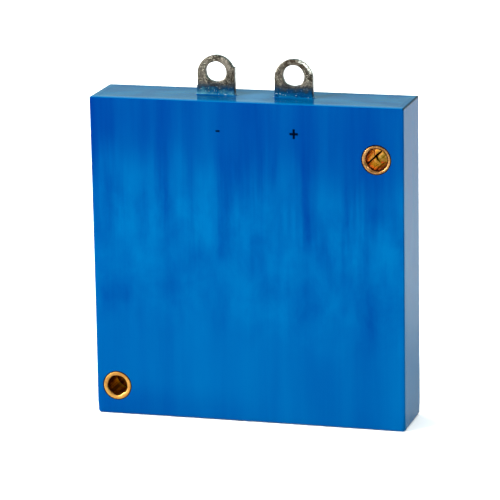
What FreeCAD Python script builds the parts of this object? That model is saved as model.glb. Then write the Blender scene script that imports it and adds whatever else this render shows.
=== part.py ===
import FreeCAD, Part
import math
import os

# Encapsulated pouch battery cell: a lithium-ion pouch cell potted in a blue plastic box.
# Frame: millimetres, +X to the right, +Y from the front face to the rear face, +Z up.
# The origin is at the middle of the underside. Every piece is written to parts/NODE.step.

Vector = FreeCAD.Vector
X_AXIS, Y_AXIS, Z_AXIS = Vector(1, 0, 0), Vector(0, 1, 0), Vector(0, 0, 1)
PAST = 1.0  # how far a cut runs on beyond the face it opens
SAME = 1e-6  # coordinates closer than this are the same

# Potting box, open at the top.
BOX_W, BOX_D, BOX_H = 65.0, 13.6, 66.5
WALL = 1.2
FLOOR = 1.5
BOTTOM_RADIUS = 0.5
UPRIGHT_RADIUS = 0.3
RIM_RADIUS = 0.2
FRONT_Y, REAR_Y = -BOX_D / 2, BOX_D / 2
INNER_W, INNER_D = BOX_W - 2 * WALL, BOX_D - 2 * WALL

# Brass sleeves that line the two mounting holes, a front and a rear one in each, for M4 screws.
SLEEVE_OD, SLEEVE_ID = 5.9, 4.2
SLEEVE_CHAMFER = 0.12
SEAM_FRONT, SEAM_REAR = 0.25, 0.45
HOLE_MOUTH_CHAMFER = 0.15
HOLES = {  # name: (x, z, angle of the sleeves' seams, in degrees from +X towards +Z)
    "lower_left": (-28.15, 6.1, -54.0),
    "upper_right": (26.9, 55.9, 201.0),
}

# Terminal lugs, for M4 screws.
LUG_W, LUG_T = 7.8, 1.2
LUG_HOLE_R = 2.15
LUG_HOLE_BELOW_TOP = 3.4
LUG_FOOT_Z = 56.2
TERMINALS = {"negative": -7.7, "positive": 8.5}
LUG_RISE = {"negative": 8.15, "positive": 7.85}

# Resin: the deep fill, then a cap that wets the lugs and climbs them.
CAP_FLOOR_Z = 63.0
RESIN_TOP_Z = BOX_H - 0.15
CLIMB = 2.3
CLIMB_STEPS = 6
FILM_T = 0.08
MENISCUS_SPREAD = 0.85
MENISCUS_DECAY = 0.45

# Polarity marks, pad printed into shallow recesses.
INK_T = 0.05
MARK_Z = 60.46
PLUS_X, PLUS_W, PLUS_H, PLUS_STROKE = 10.1, 1.8, 2.05, 0.5
MINUS_X, MINUS_W, MINUS_STROKE = -5.65, 0.9, 0.38

# Board that holds the lugs at their pitch, and the rivets through lug, tab and board.
BOARD_T = 1.0
BOARD_X0, BOARD_X1, BOARD_Z0, BOARD_Z1 = -13.6, 14.5, 55.8, 62.8
RIVET_R, RIVET_HEAD_R, RIVET_HEAD_T = 0.75, 1.3, 0.5
RIVET_Z = (58.0, 61.2)

# Pouch of aluminium laminate: two drawn halves that meet at the middle plane.
CELL_X = 3.5
LAMINATE = 0.15
CUP_W, CUP_DEPTH = 54.0, 4.8
CUP_Z0, CUP_Z1 = 2.6, 49.0
CUP_RADIUS = 0.9
SEAL_Z1 = 53.0
FLAP = 4.0
NOTCH_X, NOTCH_Z = 22.6, 51.6

# Electrode stack: anodes outermost, one separator folded in a Z between all of them.
CATHODES = 14
ANODES = CATHODES + 1
ANODE_T, CATHODE_T, SEPARATOR_T = 0.28, 0.27, 0.04
ANODE_W, ANODE_Z0, ANODE_Z1 = 51.0, 3.9, 43.5
OVERHANG = 1.0
SEPARATOR_MARGIN = 0.3
SEPARATOR_Z0, SEPARATOR_Z1 = 3.5, 44.0
FOIL_T, FOIL_W = 0.03, 6.5
GATHER_Z0, GATHER_Z1, FOIL_END_Z = 44.1, 46.6, 48.2
STACK_HALF = (ANODES * ANODE_T + CATHODES * CATHODE_T + 2 * ANODES * SEPARATOR_T) / 2

# Tab leads and the sealing film round each.
TAB_W, TAB_T = 7.0, 0.2
TAB_Z0, TAB_JOG_Z0, TAB_JOG_Z1, TAB_Z1 = GATHER_Z1, 54.4, 55.8, 62.4
FILM_W, FILM_BAND_T = 11.0, 0.4
FILM_Z0, FILM_Z1 = 48.4, 54.0

# Foam pads that let the cell swell.
PAD_W, PAD_Z0, PAD_Z1 = 51.0, 4.0, 47.5

# Tapes: four across the stack's edges, and one down each folded side seal.
TAPE_T = 0.05
STACK_TAPE_W, STACK_TAPE_LAP = 8.0, 6.0
SEAL_TAPE_FRONT, SEAL_TAPE_REAR = 2.0, 0.2


def box(x0, x1, y0, y1, z0, z1):
    """A block between two corners."""
    return Part.makeBox(x1 - x0, y1 - y0, z1 - z0, Vector(x0, y0, z0))


def centred_box(x, width, y0, y1, z0, z1):
    """A block centred on x."""
    return box(x - width / 2, x + width / 2, y0, y1, z0, z1)


def rod_y(x, z, radius, y0, y1):
    """A cylinder along +Y."""
    return Part.makeCylinder(radius, y1 - y0, Vector(x, y0, z), Y_AXIS)


def cone_y(x, z, r0, r1, y0, y1):
    """A cone frustum along +Y, of radius r0 at y0 and r1 at y1."""
    return Part.makeCone(r0, r1, y1 - y0, Vector(x, y0, z), Y_AXIS)


def rounded_outline(half_w, low, high, r_low, r_high, place):
    """A closed outline, centred sideways, with its two lower and two upper corners rounded.

    place(u, v) turns the outline's own coordinates into a point in space.
    """
    turn = math.sqrt(0.5)
    corners = [  # side, level, radius, and the way from the corner to the arc's centre
        (half_w, low, r_low, -1, 1),
        (half_w, high, r_high, -1, -1),
        (-half_w, high, r_high, 1, -1),
        (-half_w, low, r_low, 1, 1),
    ]
    stops = []
    for index, (u, v, r, du, dv) in enumerate(corners):
        centre_u, centre_v = u + du * r, v + dv * r
        beside = place(u, centre_v)
        above = place(centre_u, v)
        middle = place(centre_u - du * r * turn, centre_v - dv * r * turn)
        first, last = (above, beside) if index % 2 == 0 else (beside, above)
        stops.append((first, middle, last))
    edges = []
    for index, (first, middle, last) in enumerate(stops):
        edges.append(Part.Arc(first, middle, last).toShape())
        following = stops[(index + 1) % len(stops)][0]
        edges.append(Part.LineSegment(last, following).toShape())
    return Part.Face(Part.Wire(edges))


def polygon_prism(points, along):
    """A closed polygon of points, swept along a vector."""
    wire = Part.makePolygon([Vector(*p) for p in points + points[:1]])
    return Part.Face(wire).extrude(along)


def moulded_block():
    """The outside of the potting box: crisp upright edges and a rounder underside."""
    front = rounded_outline(
        BOX_W / 2, 0, BOX_H, BOTTOM_RADIUS, RIM_RADIUS, lambda u, v: Vector(u, FRONT_Y, v)
    )
    side = rounded_outline(
        BOX_D / 2, 0, BOX_H, BOTTOM_RADIUS, RIM_RADIUS, lambda u, v: Vector(-BOX_W / 2, u, v)
    )
    plan = rounded_outline(
        BOX_W / 2, FRONT_Y, REAR_Y, UPRIGHT_RADIUS, UPRIGHT_RADIUS, lambda u, v: Vector(u, v, 0)
    )
    block = front.extrude(Y_AXIS * BOX_D)
    block = block.common(side.extrude(X_AXIS * BOX_W))
    return block.common(plan.extrude(Z_AXIS * BOX_H))


def cavity(z0, z1):
    """The inside of the potting box between two heights."""
    return centred_box(0, INNER_W, -INNER_D / 2, INNER_D / 2, z0, z1)


def potting_box(marks):
    """The open box, with a hole through both walls for each pair of sleeves."""
    shape = moulded_block().cut(cavity(FLOOR, BOX_H + PAST))
    radius = SLEEVE_OD / 2
    for x, z, _seam in HOLES.values():
        mouth = radius + HOLE_MOUTH_CHAMFER
        shape = shape.cut(rod_y(x, z, radius, FRONT_Y - PAST, REAR_Y + PAST))
        shape = shape.cut(cone_y(x, z, mouth, radius, FRONT_Y, FRONT_Y + HOLE_MOUTH_CHAMFER))
        shape = shape.cut(cone_y(x, z, radius, mouth, REAR_Y - HOLE_MOUTH_CHAMFER, REAR_Y))
    for mark in marks:
        shape = shape.cut(mark)
    return shape


def sleeve(x, z, seam_angle, seam, at_front):
    """Half the lining of a mounting hole: a rolled brass tube with an open seam."""
    outer, inner, edge = SLEEVE_OD / 2, SLEEVE_ID / 2, SLEEVE_CHAMFER
    y0, y1 = (FRONT_Y, 0) if at_front else (0, REAR_Y)
    shape = rod_y(x, z, outer, y0, y1).cut(rod_y(x, z, inner, y0, y1))
    face_y, step = (y0, edge) if at_front else (y1, -edge)
    low, high = sorted((face_y, face_y + step))
    ring = rod_y(x, z, outer + PAST, low, high)
    ends = (outer - edge, outer) if at_front else (outer, outer - edge)
    shape = shape.cut(ring.cut(cone_y(x, z, *ends, low, high)))
    ends = (inner + edge, inner) if at_front else (inner, inner + edge)
    shape = shape.cut(cone_y(x, z, *ends, low, high))
    gap = box(0, outer + PAST, y0, y1, -seam / 2, seam / 2)
    gap.rotate(Vector(0, 0, 0), Y_AXIS, -seam_angle)
    gap.translate(Vector(x, 0, z))
    return shape.cut(gap)


def plus_mark():
    """The printed plus, flush with the front face."""
    upright = box(
        PLUS_X - PLUS_STROKE / 2,
        PLUS_X + PLUS_STROKE / 2,
        FRONT_Y,
        FRONT_Y + INK_T,
        MARK_Z - PLUS_H / 2,
        MARK_Z + PLUS_H / 2,
    )
    bar_z = (MARK_Z - PLUS_STROKE / 2, MARK_Z + PLUS_STROKE / 2)
    bar = centred_box(PLUS_X, PLUS_W, FRONT_Y, FRONT_Y + INK_T, *bar_z)
    return upright.fuse(bar).removeSplitter()


def minus_mark():
    """The printed minus, flush with the front face."""
    bar_z = (MARK_Z - MINUS_STROKE / 2, MARK_Z + MINUS_STROKE / 2)
    return centred_box(MINUS_X, MINUS_W, FRONT_Y, FRONT_Y + INK_T, *bar_z)


def lug(x, rise):
    """A flat lug with a round head and a screw hole, and two rivet holes in its foot."""
    half, front = LUG_W / 2, -LUG_T / 2
    top = BOX_H + rise
    shoulder = top - half
    head = Part.Arc(
        Vector(x + half, front, shoulder), Vector(x, front, top), Vector(x - half, front, shoulder)
    ).toShape()
    feet = [
        Vector(x - half, front, shoulder),
        Vector(x - half, front, LUG_FOOT_Z),
        Vector(x + half, front, LUG_FOOT_Z),
        Vector(x + half, front, shoulder),
    ]
    sides = [Part.LineSegment(a, b).toShape() for a, b in zip(feet, feet[1:])]
    shape = Part.Face(Part.Wire([head] + sides)).extrude(Y_AXIS * LUG_T)
    span = (front - PAST, -front + PAST)
    shape = shape.cut(rod_y(x, top - LUG_HOLE_BELOW_TOP, LUG_HOLE_R, *span))
    for z in RIVET_Z:
        shape = shape.cut(rod_y(x, z, RIVET_R, *span))
    return shape


def tab(x):
    """A tab lead: up through the seal, then back a little to lie on the lug's rear face."""
    front, seat = -TAB_T / 2, LUG_T / 2
    profile = [
        (front, TAB_Z0),
        (front, TAB_JOG_Z0),
        (seat, TAB_JOG_Z1),
        (seat, TAB_Z1),
        (seat + TAB_T, TAB_Z1),
        (seat + TAB_T, TAB_JOG_Z1),
        (front + TAB_T, TAB_JOG_Z0),
        (front + TAB_T, TAB_Z0),
    ]
    points = [(x - TAB_W / 2, y, z) for y, z in profile]
    shape = polygon_prism(points, X_AXIS * TAB_W)
    for z in RIVET_Z:
        shape = shape.cut(rod_y(x, z, RIVET_R, seat - PAST, seat + PAST))
    return shape


def tab_film(x):
    """The plastic band that seals a tab lead into the laminate."""
    half = FILM_BAND_T / 2
    band = centred_box(x, FILM_W, -half, half, FILM_Z0, FILM_Z1)
    slot = (-TAB_T / 2, TAB_T / 2, FILM_Z0 - PAST, FILM_Z1 + PAST)
    return band.cut(centred_box(x, TAB_W, *slot))


def terminal_board():
    """The glass-epoxy strip behind both tab leads."""
    front = LUG_T / 2 + TAB_T
    shape = box(BOARD_X0, BOARD_X1, front, front + BOARD_T, BOARD_Z0, BOARD_Z1)
    for x in TERMINALS.values():
        for z in RIVET_Z:
            shape = shape.cut(rod_y(x, z, RIVET_R, front - PAST, front + BOARD_T + PAST))
    return shape


def rivets(x):
    """The two rivets of a lug, each a shank with a flat head at both ends."""
    front, rear = -LUG_T / 2, LUG_T / 2 + TAB_T + BOARD_T
    solids = []
    for z in RIVET_Z:
        pin = rod_y(x, z, RIVET_R, front, rear)
        pin = pin.fuse(rod_y(x, z, RIVET_HEAD_R, front - RIVET_HEAD_T, front))
        pin = pin.fuse(rod_y(x, z, RIVET_HEAD_R, rear, rear + RIVET_HEAD_T))
        solids.append(pin.removeSplitter())
    return Part.makeCompound(solids)


def collar(x, top_z):
    """The resin that climbs a lug: a foot that thins upwards to a film round the metal."""
    levels = [CLIMB * (step / CLIMB_STEPS) ** 2 for step in range(CLIMB_STEPS + 1)]
    sections = []
    for height in levels:
        spread = FILM_T + MENISCUS_SPREAD * math.exp(-height / MENISCUS_DECAY)
        half_w, half_t = LUG_W / 2 + spread, LUG_T / 2 + spread
        z = top_z + height
        corners = [(-half_w, -half_t), (half_w, -half_t), (half_w, half_t), (-half_w, half_t)]
        points = [Vector(x + u, v, z) for u, v in corners]
        sections.append(Part.makePolygon(points + points[:1]))
    return Part.makeLoft(sections, True, True)


def resin_cap(lugs):
    """The last pour: the glossy top of the block, and the resin drawn up round each lug."""
    shape = cavity(CAP_FLOOR_Z, RESIN_TOP_Z)
    for x in TERMINALS.values():
        shape = shape.fuse(collar(x, RESIN_TOP_Z))
    for metal in lugs:
        shape = shape.cut(metal)
    return shape.removeSplitter()


def cup(side, inset):
    """One drawn half of the pouch as a filled form, inset all round by a distance.

    side is -1 for the front half and 1 for the rear half.
    """
    half_w = CUP_W / 2 - inset
    z0, z1 = CUP_Z0 + inset, CUP_Z1 - inset
    radius = CUP_RADIUS - inset
    depth = CUP_DEPTH - inset
    span = sorted((0, side * depth))
    shape = centred_box(CELL_X, 2 * half_w, *span, z0, z1)
    outer_y = side * depth
    drawn = []
    for edge in shape.Edges:
        first, last = (vertex.Y for vertex in edge.Vertexes)
        on_bottom = abs(first - outer_y) < SAME and abs(last - outer_y) < SAME
        if on_bottom or abs(first - last) > SAME:
            drawn.append(edge)
    return shape.makeFillet(radius, drawn)


def seal_strip(side):
    """The flat top seal of one half, notched to clear the upper mounting hole."""
    span = sorted((0, side * LAMINATE))
    low = CUP_Z1 - LAMINATE
    strip = centred_box(CELL_X, CUP_W, *span, low, SEAL_Z1)
    right = CELL_X + CUP_W / 2
    strip = strip.cut(box(NOTCH_X, right + PAST, -PAST, PAST, NOTCH_Z, SEAL_Z1 + PAST))
    bump = sorted((0, side * (FILM_BAND_T / 2 + LAMINATE)))
    for x in TERMINALS.values():
        strip = strip.fuse(centred_box(x, FILM_W + 2 * LAMINATE, *bump, low, SEAL_Z1))
    return strip


def flap_spans():
    """Where the folded seals run: the height of the side ones and the width of the bottom one."""
    side_z = (CUP_Z0 + CUP_RADIUS, CUP_Z1 - CUP_RADIUS)
    half = CUP_W / 2 - CUP_RADIUS
    return side_z, (CELL_X - half, CELL_X + half)


def folded_flaps(layer):
    """The side and bottom seals, folded back on the rear half: layer 0 is the inner ply."""
    inner, outer = layer * LAMINATE, (layer + 1) * LAMINATE
    left, right = CELL_X - CUP_W / 2, CELL_X + CUP_W / 2
    side_z, foot_x = flap_spans()
    return [
        box(left - outer, left - inner, 0, FLAP, *side_z),
        box(right + inner, right + outer, 0, FLAP, *side_z),
        box(*foot_x, 0, FLAP, CUP_Z0 - outer, CUP_Z0 - inner),
    ]


def flap_roots():
    """Where the front half's ply turns round the folded edge."""
    left, right = CELL_X - CUP_W / 2, CELL_X + CUP_W / 2
    reach = 2 * LAMINATE
    side_z, foot_x = flap_spans()
    return [
        box(left - reach, left, -LAMINATE, 0, *side_z),
        box(right, right + reach, -LAMINATE, 0, *side_z),
        box(*foot_x, -LAMINATE, 0, CUP_Z0 - reach, CUP_Z0),
    ]


def film_slots():
    """The space of both tab films, which pass out through the top seal."""
    half = FILM_BAND_T / 2
    return [
        centred_box(x, FILM_W, -half, half, FILM_Z0, FILM_Z1) for x in TERMINALS.values()
    ]


def pouch_half(side):
    """One half of the laminate pouch: its cup, its top seal and its folded flaps."""
    shape = cup(side, 0).fuse(seal_strip(side))
    extras = folded_flaps(1) + flap_roots() if side < 0 else folded_flaps(0)
    shape = shape.multiFuse(extras)
    shape = shape.cut(cup(side, LAMINATE))
    for slot in film_slots():
        shape = shape.cut(slot)
    return shape.removeSplitter()


def pouch_envelope():
    """The whole pouch as one filled form, which the resin closes round."""
    pieces = [cup(1, 0), seal_strip(-1), seal_strip(1)]
    pieces += folded_flaps(0) + folded_flaps(1) + flap_roots()
    return cup(-1, 0).multiFuse(pieces)


def seal_tapes():
    """A strip of tape down each folded side seal, lapped on to the front half."""
    front, rear = -SEAL_TAPE_FRONT, FLAP + SEAL_TAPE_REAR
    (low, high), _foot_x = flap_spans()
    solids = []
    for side in (-1, 1):
        wall = CELL_X + side * CUP_W / 2
        fold = wall + side * 2 * LAMINATE
        profile = [
            (wall, front),
            (wall, -LAMINATE),
            (fold, -LAMINATE),
            (fold, FLAP),
            (wall, FLAP),
            (wall, rear),
            (wall + side * TAPE_T, rear),
            (wall + side * TAPE_T, FLAP + TAPE_T),
            (fold + side * TAPE_T, FLAP + TAPE_T),
            (fold + side * TAPE_T, -LAMINATE - TAPE_T),
            (wall + side * TAPE_T, -LAMINATE - TAPE_T),
            (wall + side * TAPE_T, front),
        ]
        points = [(x, y, low) for x, y in profile]
        solids.append(polygon_prism(points, Z_AXIS * (high - low)))
    return Part.makeCompound(solids)


def layer_places():
    """The front face of each electrode and each separator ply, from front to rear."""
    anodes, cathodes, plies = [], [], []
    y = -STACK_HALF
    for index in range(ANODES + CATHODES):
        plies.append(y)
        y += SEPARATOR_T
        if index % 2 == 0:
            anodes.append(y)
            y += ANODE_T
        else:
            cathodes.append(y)
            y += CATHODE_T
    plies.append(y)
    return anodes, cathodes, plies


def electrode(front_y, thickness, width, z0, z1, foil_x, order):
    """A coated sheet with its bare foil flag, gathered at the weld behind the tab lead."""
    sheet = centred_box(CELL_X, width, front_y, front_y + thickness, z0, z1)
    foil_y = front_y + (thickness - FOIL_T) / 2
    weld_y = TAB_T / 2 + order * FOIL_T
    profile = [
        (foil_y, z1),
        (foil_y, GATHER_Z0),
        (weld_y, GATHER_Z1),
        (weld_y, FOIL_END_Z),
        (weld_y + FOIL_T, FOIL_END_Z),
        (weld_y + FOIL_T, GATHER_Z1),
        (foil_y + FOIL_T, GATHER_Z0),
        (foil_y + FOIL_T, z1),
    ]
    points = [(foil_x - FOIL_W / 2, y, z) for y, z in profile]
    return sheet.fuse(polygon_prism(points, X_AXIS * FOIL_W)).removeSplitter()


def separator(plies):
    """One porous film, folded back and forth so that a ply lies on both faces of each sheet."""
    half = ANODE_W / 2 + SEPARATOR_MARGIN
    pieces = []
    for y in plies:
        flat = (CELL_X - half, CELL_X + half, y, y + SEPARATOR_T)
        pieces.append(box(*flat, SEPARATOR_Z0, SEPARATOR_Z1))
    for index, (y0, y1) in enumerate(zip(plies, plies[1:])):
        edge = CELL_X + half if index % 2 == 0 else CELL_X - half - SEPARATOR_T
        fold = (edge, edge + SEPARATOR_T, y0, y1 + SEPARATOR_T)
        pieces.append(box(*fold, SEPARATOR_Z0, SEPARATOR_Z1))
    return pieces[0].multiFuse(pieces[1:]).removeSplitter()


def stack_tapes():
    """Four tapes that hold the stack square: one on each side and two on its bottom edge."""
    inside_y = (-STACK_HALF, STACK_HALF)
    outside_y = (-STACK_HALF - TAPE_T, STACK_HALF + TAPE_T)
    edge = ANODE_W / 2 + SEPARATOR_MARGIN + SEPARATOR_T
    middle_z = (SEPARATOR_Z0 + SEPARATOR_Z1) / 2
    side_z = (middle_z - STACK_TAPE_W / 2, middle_z + STACK_TAPE_W / 2)
    foot_z = SEPARATOR_Z0 + STACK_TAPE_LAP
    solids = []
    for side in (-1, 1):
        lapped, wall, skin = (
            CELL_X + side * reach for reach in (edge - STACK_TAPE_LAP, edge, edge + TAPE_T)
        )
        wrap = box(*sorted((lapped, skin)), *outside_y, *side_z)
        solids.append(wrap.cut(box(*sorted((lapped, wall)), *inside_y, *side_z)))
        foot_x = CELL_X + side * ANODE_W / 4
        wrap = centred_box(foot_x, STACK_TAPE_W, *outside_y, SEPARATOR_Z0 - TAPE_T, foot_z)
        inside = centred_box(foot_x, STACK_TAPE_W, *inside_y, SEPARATOR_Z0, foot_z)
        solids.append(wrap.cut(inside))
    return Part.makeCompound(solids)


def foam_pad(side):
    """A soft pad between the pouch and one wall of the box."""
    span = sorted((side * CUP_DEPTH, side * INNER_D / 2))
    return centred_box(CELL_X, PAD_W, *span, PAD_Z0, PAD_Z1)


def resin_fill(embedded):
    """The first pour: everything in the box below the cap that no other piece takes up."""
    shape = cavity(FLOOR, CAP_FLOOR_Z)
    for x, z, _seam in HOLES.values():
        shape = shape.cut(rod_y(x, z, SLEEVE_OD / 2, FRONT_Y, REAR_Y))
    for piece in embedded:
        shape = shape.cut(piece)
    return shape


def build():
    """Every piece of the cell, by node name."""
    pieces = {"plus_mark": plus_mark(), "minus_mark": minus_mark()}
    pieces["potting_box"] = potting_box([pieces["plus_mark"], pieces["minus_mark"]])
    for name, (x, z, seam_angle) in HOLES.items():
        pieces[f"{name}_front_sleeve"] = sleeve(x, z, seam_angle, SEAM_FRONT, True)
        pieces[f"{name}_rear_sleeve"] = sleeve(x, z, seam_angle, SEAM_REAR, False)
    for name, x in TERMINALS.items():
        pieces[f"{name}_lug"] = lug(x, LUG_RISE[name])
        pieces[f"{name}_tab"] = tab(x)
        pieces[f"{name}_tab_film"] = tab_film(x)
        pieces[f"{name}_rivets"] = rivets(x)
    pieces["terminal_board"] = terminal_board()
    pieces["pouch_front"] = pouch_half(-1)
    pieces["pouch_rear"] = pouch_half(1)
    pieces["seal_tapes"] = seal_tapes()
    pieces["front_foam_pad"] = foam_pad(-1)
    pieces["rear_foam_pad"] = foam_pad(1)

    anodes, cathodes, plies = layer_places()
    for order, y in enumerate(anodes):
        pieces[f"anode_{order + 1:02d}"] = electrode(
            y, ANODE_T, ANODE_W, ANODE_Z0, ANODE_Z1, TERMINALS["negative"], order
        )
    for order, y in enumerate(cathodes):
        pieces[f"cathode_{order + 1:02d}"] = electrode(
            y,
            CATHODE_T,
            ANODE_W - 2 * OVERHANG,
            ANODE_Z0 + OVERHANG,
            ANODE_Z1 - OVERHANG,
            TERMINALS["positive"],
            order,
        )
    pieces["separator"] = separator(plies)
    pieces["stack_tapes"] = stack_tapes()

    lugs = [pieces[f"{name}_lug"] for name in TERMINALS]
    pieces["resin_cap"] = resin_cap(lugs)
    embedded = [pouch_envelope(), pieces["seal_tapes"]] + film_slots() + lugs
    embedded += [pieces["front_foam_pad"], pieces["rear_foam_pad"], pieces["terminal_board"]]
    for name in TERMINALS:
        embedded += [pieces[f"{name}_tab"], pieces[f"{name}_rivets"]]
    pieces["resin_fill"] = resin_fill(embedded)
    return pieces


def main():
    os.makedirs("parts", exist_ok=True)
    for name, shape in build().items():
        if not shape.isValid() or shape.Volume <= 0:
            raise ValueError(f"{name} is not a valid solid")
        shape.exportStep(f"parts/{name}.step")
        print(f"{name}: {len(shape.Solids)} solid(s), {shape.Volume:.2f} mm3")


main()
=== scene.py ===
import math

import bmesh
import bpy
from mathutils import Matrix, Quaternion, Vector, noise


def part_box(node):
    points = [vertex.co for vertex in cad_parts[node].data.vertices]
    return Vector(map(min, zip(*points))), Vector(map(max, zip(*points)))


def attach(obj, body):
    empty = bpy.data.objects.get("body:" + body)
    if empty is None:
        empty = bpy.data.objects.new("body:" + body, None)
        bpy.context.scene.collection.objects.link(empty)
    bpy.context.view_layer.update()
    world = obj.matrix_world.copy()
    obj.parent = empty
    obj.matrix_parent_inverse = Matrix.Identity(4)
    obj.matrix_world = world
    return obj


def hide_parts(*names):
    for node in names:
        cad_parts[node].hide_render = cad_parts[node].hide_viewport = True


# An encapsulated pouch battery cell. Everything is in metres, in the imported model's own frame.
# +X is to the right of the marked front face, +Y goes from front to rear, and +Z is up.

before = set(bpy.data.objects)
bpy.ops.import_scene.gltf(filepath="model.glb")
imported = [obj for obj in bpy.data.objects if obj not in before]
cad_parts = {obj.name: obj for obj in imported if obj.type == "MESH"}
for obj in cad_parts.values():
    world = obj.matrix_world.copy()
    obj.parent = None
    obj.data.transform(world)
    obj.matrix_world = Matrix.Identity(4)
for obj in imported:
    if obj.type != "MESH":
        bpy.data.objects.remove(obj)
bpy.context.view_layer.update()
MM = 0.001
ROOT = "root"
FRONT_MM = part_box("potting_box")[0].y / MM
RIGHT_MM, REAR_MM, TOP_MM = (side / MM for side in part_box("potting_box")[1])

# Camera: where it looks, from where, and through what lens.
VIEW_AZIMUTH, VIEW_ELEVATION, VIEW_ROLL = 15.81, 14.02, -0.975
VIEW_DISTANCE = 0.6569
LENS_MM, SENSOR_MM = 235.2, 36.0
AIM_RIGHT, AIM_UP = 0.69 * MM, 3.04 * MM
CLIP_NEAR, CLIP_FAR = 0.01, 50.0

# Studio.
LIGHTS = (  # name, place in metres, the softbox's side in metres, watts
    ("overhead", (0.3, 0.1, 1.3), 1.3, 15.0),
    ("key", (-0.91, -0.81, 0.56), 0.6, 60.0),
    ("fill", (0.78, -0.50, 0.80), 0.24, 4.5),
    ("back", (-0.80, 0.80, 0.62), 0.5, 8.0),
)
LIGHTS_AIM = (0, 0, 0.03)
SKY = (  # height, from the horizon to the zenith, and colour
    (0.0, (0.88, 1.0, 1.0)), (0.16, (0.64, 1.10, 1.02)), (0.27, (0.35, 0.60, 0.57)),
    (0.45, (0.22, 0.25, 0.25)), (1.0, (0.26, 0.30, 0.30)),
)
SKY_STRENGTH = 1.3
FLOOR_HALF = 3.0

# Potting box. PAST and ABOVE_RIM: how far the cutters go past the faces that they cut.
# RIM_SKIN and RIM_LEVEL: how far down, and how level, a face may be to count as the rim.
SHELL_PITCH = 0.7 * MM
BEND_OFFSETS = [offset * MM for offset in (0.0, 0.08, 0.2, 0.35, 0.6, 1.0)]
FOOT_RADIUS, EDGE_RADIUS = 0.65 * MM, 0.27 * MM
FOOT_BLEND = (1.0 * MM, 3.0 * MM)
SHELL_WAVE = 0.03 * MM
LEFT_SINK, UNDER_SINK = 0.08 * MM, 0.13 * MM
HOLE_MOUTH = 0.2 * MM
PAST, ABOVE_RIM = 1 * MM, 5 * MM
RIM_SKIN, RIM_LEVEL = 0.2 * MM, 0.6

# Resin top: its level and ripple, its curves up the walls and the lugs, and its film on the lugs.
FILL_DROP = 0.15 * MM
BRIM = 0.13 * MM
WALL_CURVE = 0.35 * MM
TOP_WAVE, TOP_CALM = 0.03 * MM, 3.5 * MM
PATCH = 2.4 * MM
FINE_PITCH, COARSE_PITCH = 0.25 * MM, 0.9 * MM
CORNER_ROUND = 0.15 * MM
RISE, RISE_SPREAD = 0.6 * MM, 0.11 * MM
RISE_STEPS = (2.0, 1.5, 1.1, 0.8, 0.6, 0.46, 0.35, 0.27, 0.2, 0.14)
CLIMB, CLIMB_VARIES = 2.15 * MM, 0.35 * MM
CLIMB_RINGS = 7
FILM, FILM_VARIES, FILM_ROOT = 0.07 * MM, 0.05 * MM, 0.08 * MM
FILM_MIN, FILM_LIP = 0.02 * MM, 0.03 * MM
FILM_FROM = 0.15 * MM
COLLAR_SEEDS = (20.0, 33.0)

# Lugs.
LUG_HOLE_DROP = 3.45 * MM
RIVET_HOLE_R, RIVET_HEAD_R = 0.75 * MM, 1.3 * MM
LUG_VOXEL = 0.11 * MM
TIN_RELIEF = 0.08 * MM
HOLE_RUN = 0.16 * MM
BEVEL = 0.5 * MM
EAR_WIDTH, EAR_SLOPE, HEAD_NARROWS = 0.1 * MM, 0.08 * MM, 0.12 * MM
HEAD_STEPS, HOLE_STEPS, RIVET_STEPS = 64, 72, 40
SCRAPE_STARTS, SCRAPE_ENDS, SCRAPE_CUTS = (0.25, 0.45), (1.25, 0.95), 0.9
LUG_SEED = 31
LUG_SHAPES = {  # lug: (mm added left, mm added right, hole's radius in mm, ear's height in mm, scrape)
    "negative_lug": (-0.08, 0.12, 2.14, 1.5, False),
    "positive_lug": (0.08, 0.10, 2.2, 0.0, True),
}

# Sleeves, with angles in radians.
SEAMS = {  # hole: (seam's angle, from +X towards +Z, front seam's width, rear seam's width)
    "lower_left": (math.radians(-54), 0.04 * MM, 0.3 * MM),
    "upper_right": (math.radians(204), 0.42 * MM, 0.55 * MM),
}
SLEEVE_WALL = 0.85 * MM
SLEEVE_TURNS = 160
SKEW = {"lower_left": 0.3 * MM, "upper_right": 1.6 * MM}  # how far each rear sleeve's end is cut askew
MOUTHS = {  # hole: the end of its sleeve's wall, as (mm in from the outside, mm deep) pairs
    "lower_left": (
        (0, 0.14), (0.06, 0.04), (0.12, 0), (0.22, 0), (0.60, 0), (0.70, 0.03), (0.80, 0.12), (0.85, 0.3),
    ),
    "upper_right": (
        (0, 0.30), (0.05, 0.12), (0.10, 0.02), (0.18, 0), (0.42, 0), (0.48, 0.03), (0.64, 0.22),
        (0.70, 0.32), (0.76, 0.5), (0.85, 0.8),
    ),
    "rear": ((0, 0.14), (0.06, 0.02), (0.14, 0), (0.78, 0), (0.83, 0.02), (0.85, 0.08)),
}
SLEEVE_SOFT = 0.05 * MM
PINCH, PINCH_ANGLE = 0.16 * MM, 0.30
SKEW_ANGLE = 0.6
SEAM_ANGLE, SEAM_CLOSES = 0.4, (0.85 * MM, 0.35 * MM)
SLEEVE_LOOKS = {  # hole: (roughness, two colours of the lip, two colours of the bore)
    "lower_left": (
        0.45,
        ((0.24, 0.105, 0.024), (0.32, 0.16, 0.036)),
        # The lower left bore's dark brown colours are painted shade, for the dim inside of that hole.
        ((0.17, 0.030, 0.003), (0.34, 0.110, 0.008)),
    ),
    "upper_right": (
        0.30,
        ((0.13, 0.055, 0.016), (0.24, 0.12, 0.044)),
        ((0.62, 0.30, 0.12), (1.0, 0.47, 0.24)),
    ),
}

# Pieces that the resin hides. The flags are the bare foil that stands over the electrodes' coatings.
ANODE_FLAG_MM, CATHODE_FLAG_MM = 4.7, 5.7
PAD_PITCH, PAD_DENT = 1.0 * MM, 0.02 * MM
PAD_EDGE = (0, 0.06, 0.2, 0.45, 0.8)

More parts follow.
